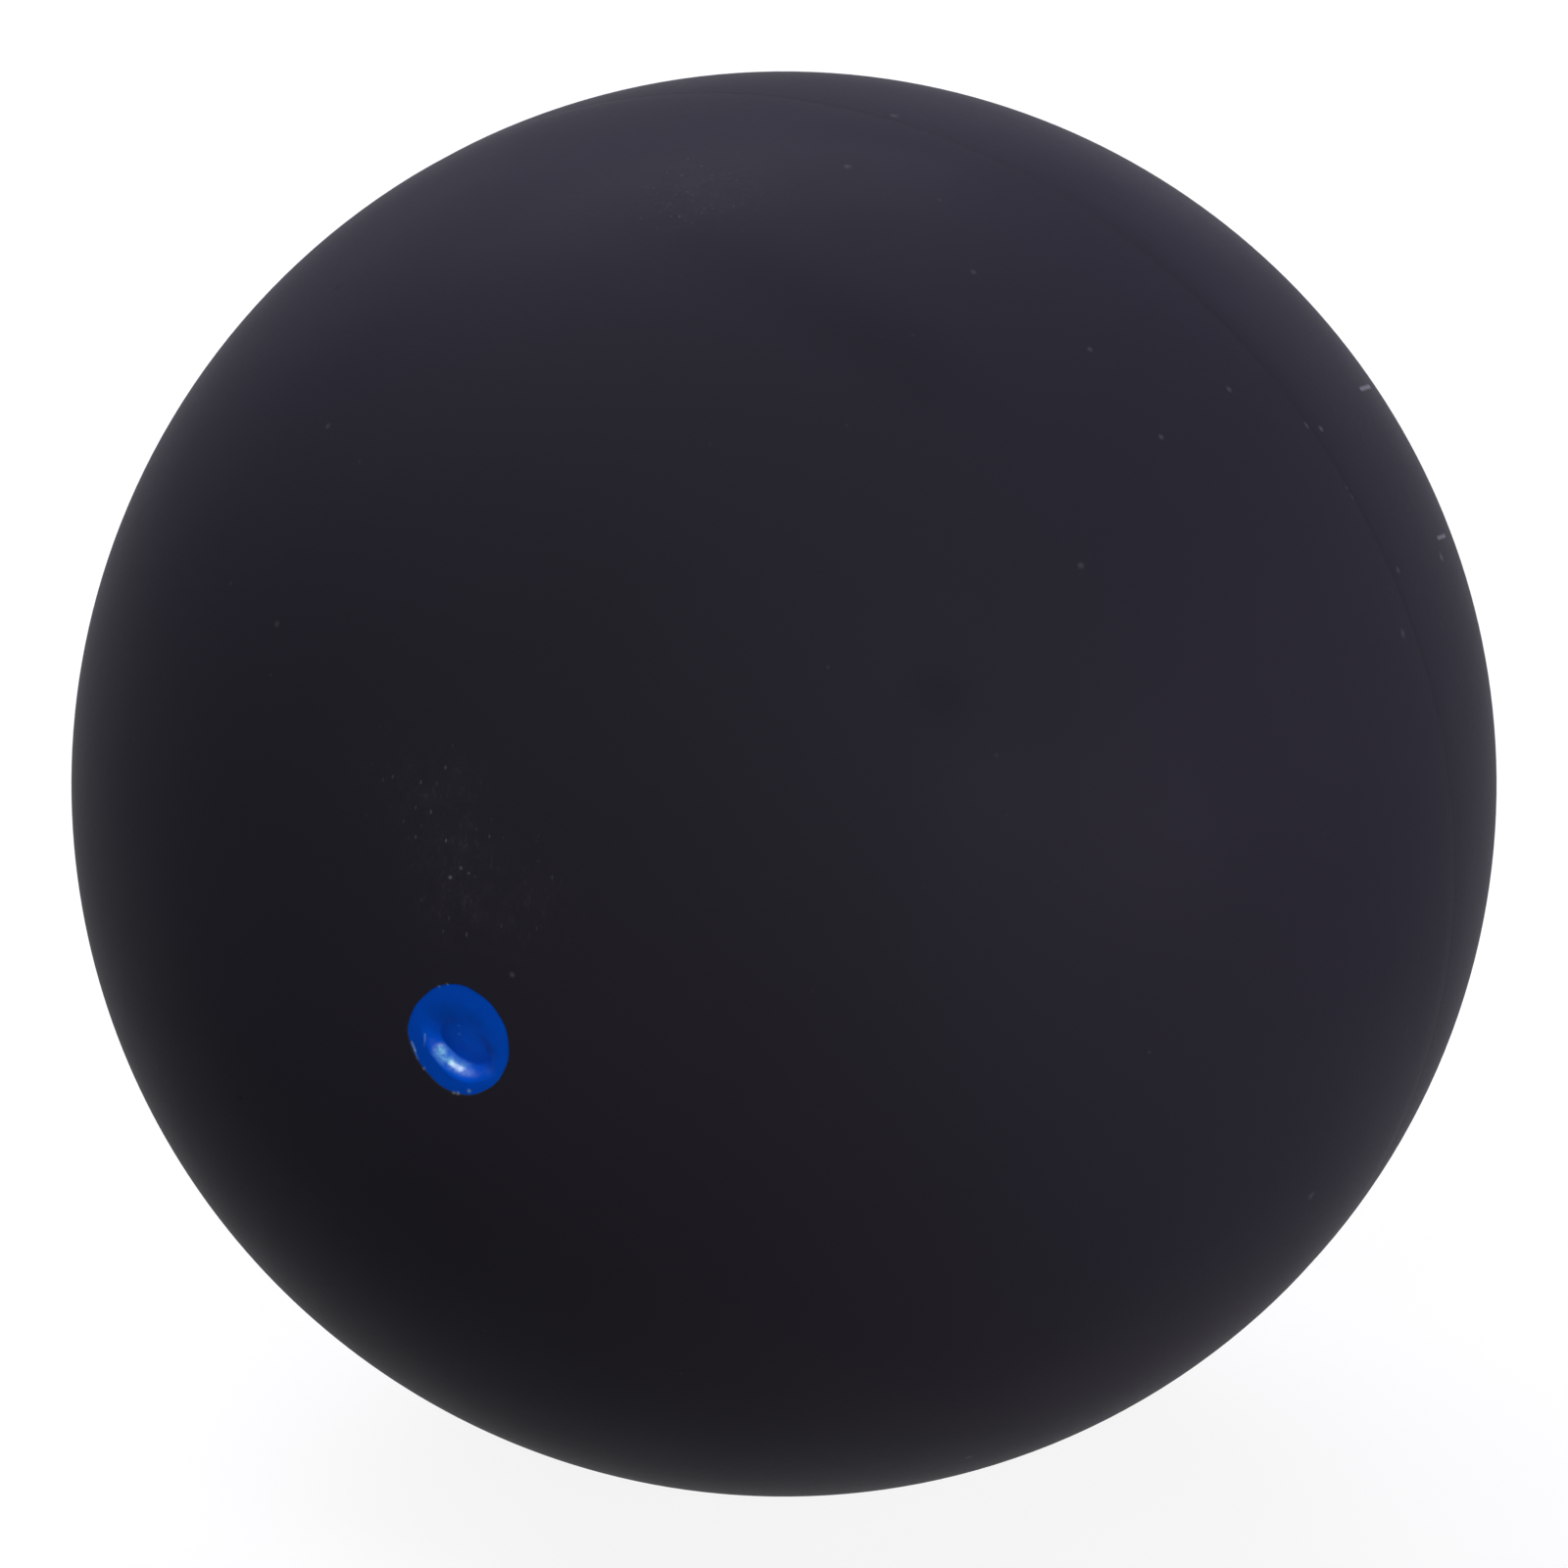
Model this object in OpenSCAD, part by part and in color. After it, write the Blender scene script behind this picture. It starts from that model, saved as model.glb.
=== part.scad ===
// Squash ball: two moulded rubber half shells, cemented rim to rim, with one painted dot.
// The origin is the centre of the ball, +Z is up and the dot faces the front, -Y, so the seam
// between the halves lies in the XZ plane. Lengths are in millimetres.
// Each piece is shaped with its moulding axis along +Z and then turned to face the front.

/* [Ball] */
// Diameter of the ball over its buffed surface
ball_d = 40; // [39.5:0.1:45]
// Thickness of the rubber wall
wall_t = 5; // [3.5:0.1:6.5]

/* [Seam] */
// Thickness of the cement film between the two rims
film_t = 0.2; // [0.1:0.05:0.4]
// Width of the bevel round the inner edge of each rim
bevel_w = 0.8; // [0.5:0.05:1.2]
// Height of the squeezed-out cement above the inner wall
bead_h = 0.4; // [0.2:0.05:0.8]

/* [Dot] */
// Diameter of the dot and of the moulded recess that holds it
dot_d = 3.0; // [2.6:0.1:5]
// Width of the ring of paint round the hollow in the dot
ring_w = 0.45; // [0.1:0.05:0.7]
// Depth of the hollow that the paint has dried to
hollow_depth = 0.3; // [0.1:0.05:0.5]
// Thickness of the dried paint under the middle of the hollow
paint_t = 0.15; // [0.1:0.05:0.4]
// Drop from the ball's surface to the top of the paint
paint_drop = 0.05; // [0.02:0.01:0.15]
// Width of the bevel round the mouth of the recess
mouth_bevel_w = 0.1; // [0.05:0.01:0.2]

/* [Hidden] */
$fn = 240;
// How far a cutting solid runs past what it cuts
overrun = 0.5;

// Radii of the ball and of the air space inside it
ball_r = ball_d / 2;
air_r = ball_r - wall_t;

// Height of each rim above the middle of the seam
rim_z = film_t / 2;

// Radii of the dot, of its hollow's edge, and of the sphere that the top of the paint follows
dot_r = dot_d / 2;
hollow_edge_r = dot_r - ring_w;
paint_top_r = ball_r - paint_drop;

// Height at which the wall of the recess would meet the ball's surface, were it not bevelled
mouth_z = sqrt(pow(ball_r, 2) - pow(dot_r, 2));

// Heights of the hollow's edge and middle, and of the floor of the recess under the paint
hollow_edge_z = sqrt(pow(paint_top_r, 2) - pow(hollow_edge_r, 2));
hollow_mid_z = hollow_edge_z - hollow_depth;
recess_floor_z = hollow_mid_z - paint_t;

// Radius of the sphere that shapes the hollow: it passes through the hollow's edge and middle
hollow_r = (pow(hollow_edge_r, 2) + pow(hollow_depth, 2)) / (2 * hollow_depth);

// Turns the moulding axis from +Z to the front of the ball
module facing_front() {
    rotate([90, 0, 0])
        children();
}

// The rubber above the seam: half of a hollow ball, with its rim bevelled on the inside
module rubber_half() {
    difference() {
        sphere(r = ball_r);
        sphere(r = air_r);
        translate([0, 0, rim_z - ball_r - overrun])
            cylinder(h = ball_r + overrun, r = ball_r + overrun);
        rim_bevel();
    }
}

// Cone that bevels the inner edge of the rim at 45 degrees
module rim_bevel() {
    translate([0, 0, rim_z - overrun])
        cylinder(h = 2 * bevel_w + overrun, r1 = air_r + bevel_w + overrun, r2 = air_r - bevel_w);
}

// The rubber below the seam
module lower_rubber_half() {
    mirror([0, 0, 1])
        rubber_half();
}

// Cylinder as wide as the dot, from the floor of its recess to past the ball's surface
module dot_column() {
    translate([0, 0, recess_floor_z])
        cylinder(h = ball_r - recess_floor_z + overrun, r = dot_r);
}

// Cone that bevels the mouth of the recess at 45 degrees
module mouth_bevel() {
    translate([0, 0, mouth_z - mouth_bevel_w])
        cylinder(h = mouth_bevel_w + overrun, r1 = dot_r, r2 = dot_r + mouth_bevel_w + overrun);
}

// Slice of the ball's wall, as thick as the gap between the rims
module cement_film() {
    intersection() {
        difference() {
            sphere(r = ball_r);
            sphere(r = air_r);
        }
        translate([0, 0, -rim_z])
            cylinder(h = film_t, r = ball_r + overrun);
    }
}

// Ring of round section, from the bottom of the bevels to a little inside the inner wall
module cement_bead() {
    bead_r = (bevel_w + bead_h) / 2;
    rotate_extrude()
        translate([air_r - bead_h + bead_r, 0])
            circle(r = bead_r);
}

// Half shell at the front, with the moulded recess for the dot at its pole
module dotted_half_shell() {
    color("#2c2b31")
        facing_front()
            difference() {
                rubber_half();
                dot_column();
                mouth_bevel();
            }
}

// Half shell at the back, the same moulding without a recess
module plain_half_shell() {
    color("#2c2b31")
        facing_front()
            lower_rubber_half();
}

// Cured cement: the film between the rims, flush with the ball's surface, and the bead that
// it was squeezed out to along the bevelled inner edges
module seam_cement() {
    color("#1e1d22")
        facing_front()
            difference() {
                union() {
                    cement_film();
                    cement_bead();
                }
                rubber_half();
                lower_rubber_half();
            }
}

// Drop of paint in the recess, which follows the ball's curve and has dried hollow
module blue_dot() {
    color("#003c9b")
        facing_front()
            difference() {
                intersection() {
                    dot_column();
                    sphere(r = paint_top_r);
                }
                translate([0, 0, hollow_mid_z + hollow_r])
                    sphere(r = hollow_r);
            }
}

dotted_half_shell();
plain_half_shell();
seam_cement();
blue_dot();
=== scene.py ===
"""Looks of a squash ball: two buffed rubber half shells, the cement between them and a painted dot.

Everything is in metres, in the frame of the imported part: the origin is the centre of the ball, +Z is
up and the dot faces the front, -Y. The line through the dot is the moulding axis, and each piece is
turned round it from half a section.
"""

import logging
import math
from dataclasses import dataclass
from enum import Enum
from typing import Any, Mapping, Sequence

import bmesh
import bpy
from mathutils import Matrix, Vector, noise


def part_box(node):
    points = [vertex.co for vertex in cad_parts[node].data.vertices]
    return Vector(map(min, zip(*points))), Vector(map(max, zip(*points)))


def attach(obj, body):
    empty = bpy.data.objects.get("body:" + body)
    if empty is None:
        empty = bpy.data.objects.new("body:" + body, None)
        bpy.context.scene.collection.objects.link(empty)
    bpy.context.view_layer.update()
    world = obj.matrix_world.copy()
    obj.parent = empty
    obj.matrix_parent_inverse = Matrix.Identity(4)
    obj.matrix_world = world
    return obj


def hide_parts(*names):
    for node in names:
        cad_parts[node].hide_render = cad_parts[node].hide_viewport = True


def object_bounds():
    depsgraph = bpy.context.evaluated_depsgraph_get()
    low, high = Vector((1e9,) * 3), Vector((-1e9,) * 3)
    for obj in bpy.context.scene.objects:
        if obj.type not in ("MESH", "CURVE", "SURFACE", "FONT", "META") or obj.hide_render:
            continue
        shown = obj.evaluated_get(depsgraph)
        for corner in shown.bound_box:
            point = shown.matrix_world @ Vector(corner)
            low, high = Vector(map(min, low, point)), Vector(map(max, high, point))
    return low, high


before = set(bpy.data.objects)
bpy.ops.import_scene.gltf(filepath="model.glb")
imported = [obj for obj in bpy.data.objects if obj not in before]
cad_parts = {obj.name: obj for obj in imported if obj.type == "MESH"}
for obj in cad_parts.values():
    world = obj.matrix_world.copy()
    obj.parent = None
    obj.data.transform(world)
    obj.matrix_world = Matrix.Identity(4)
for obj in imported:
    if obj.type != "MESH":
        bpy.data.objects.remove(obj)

CAD_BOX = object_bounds()
MM = 0.001
LOG = logging.getLogger("squash_ball")

# Size of the buffed grain of the rubber and cement, and the depth of their relief
GRAIN_SIZE = 0.16 * MM
RELIEF_DEPTH = 0.006 * MM
# Faces that meet at a larger angle than this, in degrees, meet in a sharp edge
SHARP_ANGLE = 35.0

Number = "float | Value"
Colour = tuple[float, float, float]


class Value:
    """A number that a shader works out. Python's operators on it add Math nodes."""

    def __init__(self, tree: "ShaderTree", socket: bpy.types.NodeSocket) -> None:
        """Wraps a socket.

        Args:
            tree: The tree that the socket belongs to.
            socket: The output socket that carries the number.
        """
        self.tree = tree
        self.socket = socket

    def math(self, operation: str, *operands: Number) -> "Value":
        """Adds a Math node.

        Args:
            operation: The node's operation, such as MULTIPLY.
            operands: Numbers or values for its inputs, in order.

        Returns:
            The node's result.
        """
        node = self.tree.node("ShaderNodeMath", {"operation": operation}, dict(enumerate(operands)))
        return Value(self.tree, node.outputs[0])

    def __add__(self, other: Number) -> "Value":
        """Sum."""
        return self.math("ADD", self, other)

    def __sub__(self, other: Number) -> "Value":
        """Difference."""
        return self.math("SUBTRACT", self, other)

    def __rsub__(self, other: Number) -> "Value":
        """Difference from a number on the left."""
        return self.math("SUBTRACT", other, self)

    def __mul__(self, other: Number) -> "Value":
        """Product."""
        return self.math("MULTIPLY", self, other)

    def __truediv__(self, other: Number) -> "Value":
        """Quotient."""
        return self.math("DIVIDE", self, other)

    def __abs__(self) -> "Value":
        """Size without its sign."""
        return self.math("ABSOLUTE", self)

    def most(self, other: Number) -> "Value":
        """The larger of the two."""
        return self.math("MAXIMUM", self, other)

    def least(self, other: Number) -> "Value":
        """The smaller of the two."""
        return self.math("MINIMUM", self, other)

    def ease(self, start: float, end: float) -> "Value":
        """Smooth step.

        Args:
            start: The value at which the result is 0.
            end: The value at which the result is 1. It may be below start.

        Returns:
            A value from 0 to 1.
        """
        if end < start:
            return 1 - self.ease(end, start)
        settings = {"interpolation_type": "SMOOTHSTEP"}
        limits = {"Value": self, "From Min": start, "From Max": end, "To Min": 0.0, "To Max": 1.0}
        return Value(self.tree, self.tree.node("ShaderNodeMapRange", settings, limits).outputs[0])


class ShaderTree:
    """The nodes of one material, or of the world."""

    # Strength of the faintest grain of specks, where the strongest has 1
    FAINTEST = 0.2
    # Share of a grain's radius inside which it has its full strength
    CORE = 0.4
    # Share of the chosen cells at which a grain is let in fully
    LET_IN = 0.8

    def __init__(self, owner: "bpy.types.Material | bpy.types.World") -> None:
        """Empties the owner's tree.

        Args:
            owner: The material or world whose nodes are made here.
        """
        owner.use_nodes = True
        self.nodes = owner.node_tree.nodes
        self.links = owner.node_tree.links
        self.nodes.clear()

    def node(
        self,
        kind: str,
        settings: Mapping[str, Any] | None = None,
        inputs: Mapping[int | str, Any] | None = None,
    ) -> bpy.types.Node:
        """Adds a node.

        Args:
            kind: The node's type, such as ShaderNodeTexNoise.
            settings: Its properties by name, which are set first.
            inputs: Numbers, colours, values or sockets for its inputs, by name or index.

        Returns:
            The new node.
        """
        node = self.nodes.new(kind)
        for name, setting in (settings or {}).items():
            setattr(node, name, setting)
        for key, given in (inputs or {}).items():
            socket = given.socket if isinstance(given, Value) else given
            if isinstance(socket, bpy.types.NodeSocket):
                self.links.new(socket, node.inputs[key])
            else:
                node.inputs[key].default_value = socket
        return node

    def position(self) -> bpy.types.NodeSocket:
        """The point that is shaded, in the piece's own coordinates, in metres."""
        return self.node("ShaderNodeTexCoord").outputs["Object"]

    def part(self, vector: bpy.types.NodeSocket, axis: str) -> Value:
        """One coordinate of a vector.

        Args:
            vector: The vector's socket.
            axis: X, Y or Z.

        Returns:
            That coordinate.
        """
        return Value(self, self.node("ShaderNodeSeparateXYZ", {}, {0: vector}).outputs[axis])

    def measure(self, operation: str, *vectors: Any) -> Value:
        """Works out a number from vectors.

        Args:
            operation: The vector operation, such as LENGTH, DISTANCE or DOT_PRODUCT.
            vectors: The vectors or their sockets, in order.

        Returns:
            The number.
        """
        node = self.node("ShaderNodeVectorMath", {"operation": operation}, dict(enumerate(vectors)))
        return Value(self, node.outputs["Value"])

    def stretched(
        self,
        vector: bpy.types.NodeSocket,
        scale: Sequence[float],
        offset: Sequence[float] = (0, 0, 0),
    ) -> bpy.types.NodeSocket:
        """Scales and moves a vector for a pattern.

        Args:
            vector: The vector's socket.
            scale: Scale along each axis.
            offset: What is added after the scale.

        Returns:
            The new vector's socket.
        """
        inputs = {"Vector": vector, "Scale": scale, "Location": offset}
        return self.node("ShaderNodeMapping", {"vector_type": "POINT"}, inputs).outputs[0]

    def noise(
        self,
        vector: bpy.types.NodeSocket,
        size: float,
        detail: float = 2.0,
        rough: float = 0.5,
    ) -> Value:
        """Smooth noise.

        Args:
            vector: Where the pattern is read.
            size: Width of its largest forms, in metres.
            detail: How many finer layers are added.
            rough: Strength of the finer layers.

        Returns:
            A value around 0.5, from 0 to 1.
        """
        inputs = {"Vector": vector, "Scale": 1 / size, "Detail": detail, "Roughness": rough}
        pattern = self.node("ShaderNodeTexNoise", {"noise_dimensions": "3D"}, inputs)
        return Value(self, pattern.outputs[0])

    def specks(
        self,
        vector: bpy.types.NodeSocket,
        spacing: float,
        size: float,
        share: float,
    ) -> Value:
        """Scattered small round grains.

        Args:
            vector: Where the pattern is read.
            spacing: Width of the cell that may hold a grain, in metres.
            size: Radius of a grain, as a share of the cell.
            share: Share of the cells that hold one.

        Returns:
            0 between the grains and up to 1 on a grain, whose strengths differ.
        """
        inputs = {"Vector": vector, "Scale": 1 / spacing, "Randomness": 1.0}
        cells = self.node("ShaderNodeTexVoronoi", {}, inputs)
        draws = self.node("ShaderNodeSeparateColor", {}, {0: cells.outputs["Color"]})
        kept = Value(self, draws.outputs[0]).ease(1 - share, 1 - share * self.LET_IN)
        strength = Value(self, draws.outputs[1]) * (1 - self.FAINTEST) + self.FAINTEST
        return Value(self, cells.outputs["Distance"]).ease(size, size * self.CORE) * kept * strength

    def mix(self, factor: Number, low: Any, high: Any) -> bpy.types.NodeSocket:
        """Mixes two colours.

        Args:
            factor: 0 for the first colour, 1 for the second.
            low: The first colour, or its socket.
            high: The second colour, or its socket.

        Returns:
            The mixed colour's socket.
        """
        colours = [(*c, 1.0) if isinstance(c, tuple) else c for c in (low, high)]
        inputs = {0: factor, 6: colours[0], 7: colours[1]}
        return self.node("ShaderNodeMix", {"data_type": "RGBA", "clamp_factor": True}, inputs).outputs[2]

    def bump(self, height: Value, depth: float) -> bpy.types.NodeSocket:
        """Turns a height into a normal.

        Args:
            height: The relief, from 0 to 1.
            depth: The relief's depth, in metres.

        Returns:
            The normal's socket.
        """
        inputs = {"Height": height, "Distance": depth, "Strength": 1.0}
        return self.node("ShaderNodeBump", {}, inputs).outputs[0]

    def surface(self, shader: bpy.types.NodeSocket, output: str = "ShaderNodeOutputMaterial") -> None:
        """Links a shader to the tree's output.

        Args:
            shader: The shader's socket.
            output: The type of the output node.
        """
        self.node(output, {}, {"Surface": shader})


def on_ball(ball_r: float, arc: float, clock: float) -> Vector:
    """Finds a place on the ball's surface.

    Args:
        ball_r: Radius of the ball.
        arc: Distance from the middle of the dot, measured over the surface.
        clock: Direction from the dot in degrees, from straight up and clockwise as seen from the front.

    Returns:
        The point.
    """
    tilt, turn = arc / ball_r, math.radians(clock)
    flat = Vector((math.sin(turn), 0.0, math.cos(turn)))
    return (flat * math.sin(tilt) - Vector((0.0, math.cos(tilt), 0.0))) * ball_r


@dataclass(frozen=True)
class Smudge:
    """A soft patch on the surface that is paler or darker than the rest."""

    arc: float
    clock: float
    radius: float
    strength: float

    def mask(self, tree: ShaderTree, ball_r: float) -> Value:
        """Builds the patch's mask.

        Args:
            tree: The tree that gets the nodes.
            ball_r: Radius of the ball.

        Returns:
            A value from 0 outside the patch to its strength in the middle.
        """
        gap = tree.measure("DISTANCE", tree.position(), on_ball(ball_r, self.arc, self.clock))
        return gap.ease(self.radius, 0.0) * self.strength


@dataclass(frozen=True)
class Hair:
    """A narrow straight mark on the surface between two places, each an arc and a clock angle."""

    start: tuple[float, float]
    end: tuple[float, float]
    half_w: float
    strength: float

    def mask(self, tree: ShaderTree, ball_r: float) -> Value:
        """Builds the mark's mask.

        Args:
            tree: The tree that gets the nodes.
            ball_r: Radius of the ball.

        Returns:
            A value from 0 beside the mark to its strength along its middle.
        """
        start, end = (on_ball(ball_r, *place) for place in (self.start, self.end))
        along = end - start
        ends = {0: tree.position(), 1: start}
        away = tree.node("ShaderNodeVectorMath", {"operation": "SUBTRACT"}, ends)
        share = tree.measure("DOT_PRODUCT", away.outputs[0], along / along.length_squared)
        reached = {0: along, "Scale": share.most(0.0).least(1.0)}
        foot = tree.node("ShaderNodeVectorMath", {"operation": "SCALE"}, reached)
        gap = tree.measure("DISTANCE", away.outputs[0], foot.outputs[0])
        return gap.ease(self.half_w, 0.0) * self.strength


def total(tree: ShaderTree, marks: Sequence[Smudge | Hair], ball_r: float) -> Value:
    """Adds up marks.

    Args:
        tree: The tree that gets the nodes.
        marks: The marks.
        ball_r: Radius of the ball, or of the deeper surface that they lie on.

    Returns:
        The sum of their masks.
    """
    masks = [mark.mask(tree, ball_r) for mark in marks]
    return sum(masks[1:], start=masks[0])


def smudges(*rows: tuple[float, float, float, float]) -> tuple[Smudge, ...]:
    """Makes smudges from rows of arc, clock angle, radius and strength, with lengths in millimetres."""
    return tuple(Smudge(arc * MM, clock, radius * MM, strength) for arc, clock, radius, strength in rows)


# Pale flakes and painted glints on the edge of the dot, which lie partly on the paint and partly on the
# rubber
LIP_CRUMBS_AND_GLINTS = (
    Smudge(1.45 * MM, 336.0, 0.07 * MM, 0.7),
    Smudge(1.47 * MM, 346.5, 0.07 * MM, 0.7),
    Hair((1.47 * MM, 254.5), (1.46 * MM, 245.5), 0.065 * MM, 1.1),
    Hair((1.46 * MM, 245.5), (1.49 * MM, 237.0), 0.055 * MM, 0.9),
    Smudge(1.50 * MM, 225.1, 0.07 * MM, 1.0),
    Smudge(1.60 * MM, 187.7, 0.08 * MM, 0.8),
    Smudge(1.58 * MM, 183.5, 0.09 * MM, 1.0),
    Smudge(1.48 * MM, 171.0, 0.10 * MM, 0.9),
)


@dataclass(frozen=True)
class Gloss:
    """The dull gloss of buffed rubber: a wide weak sheen and a faint skin that shines only at the limb.
    """

    roughness: float = 0.60
    specular: float = 0.018
    skin: float = 0.05
    skin_roughness: float = 0.15
    skin_ior: float = 1.05

    def inputs(self) -> dict[str, float]:
        """The shader's inputs that are the same all over the surface."""
        return {
            "Specular IOR Level": self.specular,
            "Coat Weight": self.skin,
            "Coat Roughness": self.skin_roughness,
            "Coat IOR": self.skin_ior,
        }


@dataclass(frozen=True)
class DustCover:
    """Shares of the rubber that each kind of dust covers where it lies, and the sizes of its patterns."""

    haze: float = 0.015
    lint: float = 0.055
    fine: float = 0.26
    coarse: float = 0.05
    crumb_and_glint: float = 0.45
    lint_size: float = 0.11 * MM
    lint_from_to: tuple[float, float] = (0.52, 0.72)
    fine_spacing: float = 0.25 * MM
    fine_radius: float = 0.16
    coarse_spacing: float = 1.5 * MM
    coarse_radius: float = 0.05
    grain_share: float = 0.9
    haze_size: float = 0.7 * MM
    haze_from_to: tuple[float, float] = (0.30, 0.80)


@dataclass(frozen=True)
class BuffedRubber:
    """Matte black rubber that was buffed after moulding, with its seam, its dust and its marks, a painted
    highlight on the right and painted glints at the dot's lip.

    A field whose name ends in _from_to holds the two values between which a pattern is eased in.
    """

    ball_r: float
    base: Colour = (0.0208, 0.0196, 0.0272)
    seam_base: Colour = (0.0174, 0.0164, 0.0228)
    # Lighter colour of the painted highlight, which stands in for a soft reflection of the lamps on the
    # right
    painted_highlight: Colour = (0.0236, 0.0222, 0.0308)
    grease: Colour = (0.0100, 0.0095, 0.0130)
    # Pale colour of the dust, which also paints the glints on the dot's lip
    dust: Colour = (0.34, 0.34, 0.36)
    gloss: Gloss = Gloss()
    cover: DustCover = DustCover()
    skin: tuple[float, float] = (1.0 * MM, 0.6 * MM)
    cloud_size: float = 7.0 * MM
    cloud_shade: float = 0.9
    seam_half_w: float = 0.85 * MM
    seam_wander: float = 0.6 * MM
    seam_shade: float = 0.85
    seam_from_to: tuple[float, float] = (0.25, 0.6)
    painted_highlight_from_to: tuple[float, float] = (0.3, 0.6)
    band_axis: tuple[float, float, float] = (0.333, 0.537, 0.775)
    band_place: float = 10.18 * MM
    band_half_w: float = 1.7 * MM
    band_shade: float = 0.62
    band_left_from_to: tuple[float, float] = (-3.5 * MM, 2.0 * MM)
    band_right_from_to: tuple[float, float] = (12.5 * MM, 6.0 * MM)
    cloud_roughness: float = 0.12
    grain_roughness: float = 0.10
    seam_polish: float = 0.06
    inside_polish: float = 0.15
    powder: tuple[Smudge | Hair, ...] = (
        Hair((6.2 * MM, 352.0), (3.9 * MM, 357.5), 2.0 * MM, 1.0),
        *smudges((4.3, 22.0, 2.4, 0.6), (7.0, 337.0, 2.2, 0.3), (25.1, 1.3, 2.8, 0.9)),
    )
    # Painted highlights: soft lighter patches on the right that stand in for a reflection of the lamps
    painted_highlights: tuple[Smudge, ...] = smudges((19.5, 71.0, 4.2, 1.0), (15.5, 62.0, 2.6, 0.5))
    # Crumbs of dust, nicks at the limb, and painted glints on the dot's lip
    crumbs_and_glints: tuple[Smudge | Hair, ...] = (
        *LIP_CRUMBS_AND_GLINTS,
        *smudges(
            (4.28, 354.6, 0.08, 0.7),
            (4.55, 358.5, 0.07, 0.5),
            (4.45, 1.5, 0.06, 0.4),
            (2.48, 37.0, 0.11, 0.3),
            (27.85, 10.2, 0.16, 0.2),
            (17.39, 331.6, 0.14, 0.2),
            (12.23, 322.3, 0.14, 0.2),
            (30.65, 67.8, 0.18, 0.2),
            (21.01, 48.2, 0.14, 0.2),
            (26.30, 111.9, 0.20, 0.2),
            (22.10, 147.1, 0.22, 0.2),
            (31.75, 9.0, 0.18, 0.2),
            (25.91, 24.4, 0.12, 0.2),
            (26.18, 35.3, 0.12, 0.2),
            (25.75, 44.1, 0.12, 0.25),
            (29.21, 44.5, 0.14, 0.22),
            (31.32, 50.3, 0.16, 0.4),
            (31.86, 51.2, 0.14, 0.35),
            (31.34, 56.8, 0.14, 0.25),
            (31.80, 63.6, 0.14, 0.25),
            (35.60, 65.7, 0.18, 0.45),
        ),
        Hair((36.60 * MM, 50.9), (38.20 * MM, 51.3), 0.11 * MM, 0.8),
        Hair((36.10 * MM, 64.4), (37.30 * MM, 65.0), 0.10 * MM, 0.7),
    )
    stains: tuple[Smudge, ...] = smudges(
        (15.8, 50.0, 1.2, 0.22),
        (8.75, 243.2, 0.11, 1.0),
        (23.1, 328.7, 0.12, 1.0),
    )

    def material(self) -> bpy.types.Material:
        """Makes the material.

        Returns:
            The finished material.
        """
        made = bpy.data.materials.new("buffed_rubber")
        tree = ShaderTree(made)
        place = tree.position()
        along = abs(tree.part(place, "Y"))
        outside = tree.measure("LENGTH", place).ease(*(self.ball_r - depth for depth in self.skin))
        cloud = tree.noise(place, self.cloud_size, 3.0, 0.55)
        grain = tree.noise(place, GRAIN_SIZE, 3.0, 0.6)

        seam = (along + (cloud - 0.5) * self.seam_wander).ease(self.seam_half_w, 0.0)
        seam = seam * cloud.ease(*self.seam_from_to)
        colour = tree.mix(seam * self.seam_shade, self.base, self.seam_base)
        shade = (cloud - 0.5) * self.cloud_shade + self.buffed_band(tree, place) * self.band_shade
        colour = tree.mix(shade, colour, self.seam_base)
        # Painted highlight: the rubber is lightened where the soft reflection on the right falls
        painted_highlight = total(tree, self.painted_highlights, self.ball_r) * cloud.ease(*self.painted_highlight_from_to)
        colour = tree.mix(painted_highlight, colour, self.painted_highlight)
        stain = total(tree, self.stains, self.ball_r)
        colour = tree.mix(stain, colour, self.grease)
        haze = total(tree, self.powder, self.ball_r) * outside
        colour = tree.mix(self.dust_cover(tree, place, haze, outside), colour, self.dust)

        roughness = (cloud - 0.5) * self.cloud_roughness + (grain - 0.5) * self.grain_roughness
        polish = seam * self.seam_polish + (1 - outside) * self.inside_polish
        relief = grain * 0.7 + tree.noise(place, 1.3 * MM, 2.0) * 0.6
        shader = tree.node(
            "ShaderNodeBsdfPrincipled",
            {},
            {
                "Base Color": colour,
                "Roughness": roughness + self.gloss.roughness - polish,
                "Normal": tree.bump(relief, RELIEF_DEPTH),
                **self.gloss.inputs(),
            },
        )
        tree.surface(shader.outputs[0])
        return made

    def buffed_band(self, tree: ShaderTree, place: bpy.types.NodeSocket) -> Value:
        """A faint dark line across the upper front, where a plane cuts the surface.

        Args:
            tree: The tree that gets the nodes.
            place: The point that is shaded.

        Returns:
            A value from 0 to 1.
        """
        rise = tree.measure("DOT_PRODUCT", place, self.band_axis)
        right = tree.part(place, "X")
        ends = right.ease(*self.band_left_from_to) * right.ease(*self.band_right_from_to)
        front = tree.part(place, "Y").ease(0.0, -3.0 * MM)
        return abs(rise - self.band_place).ease(self.band_half_w, 0.0) * ends * front

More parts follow.
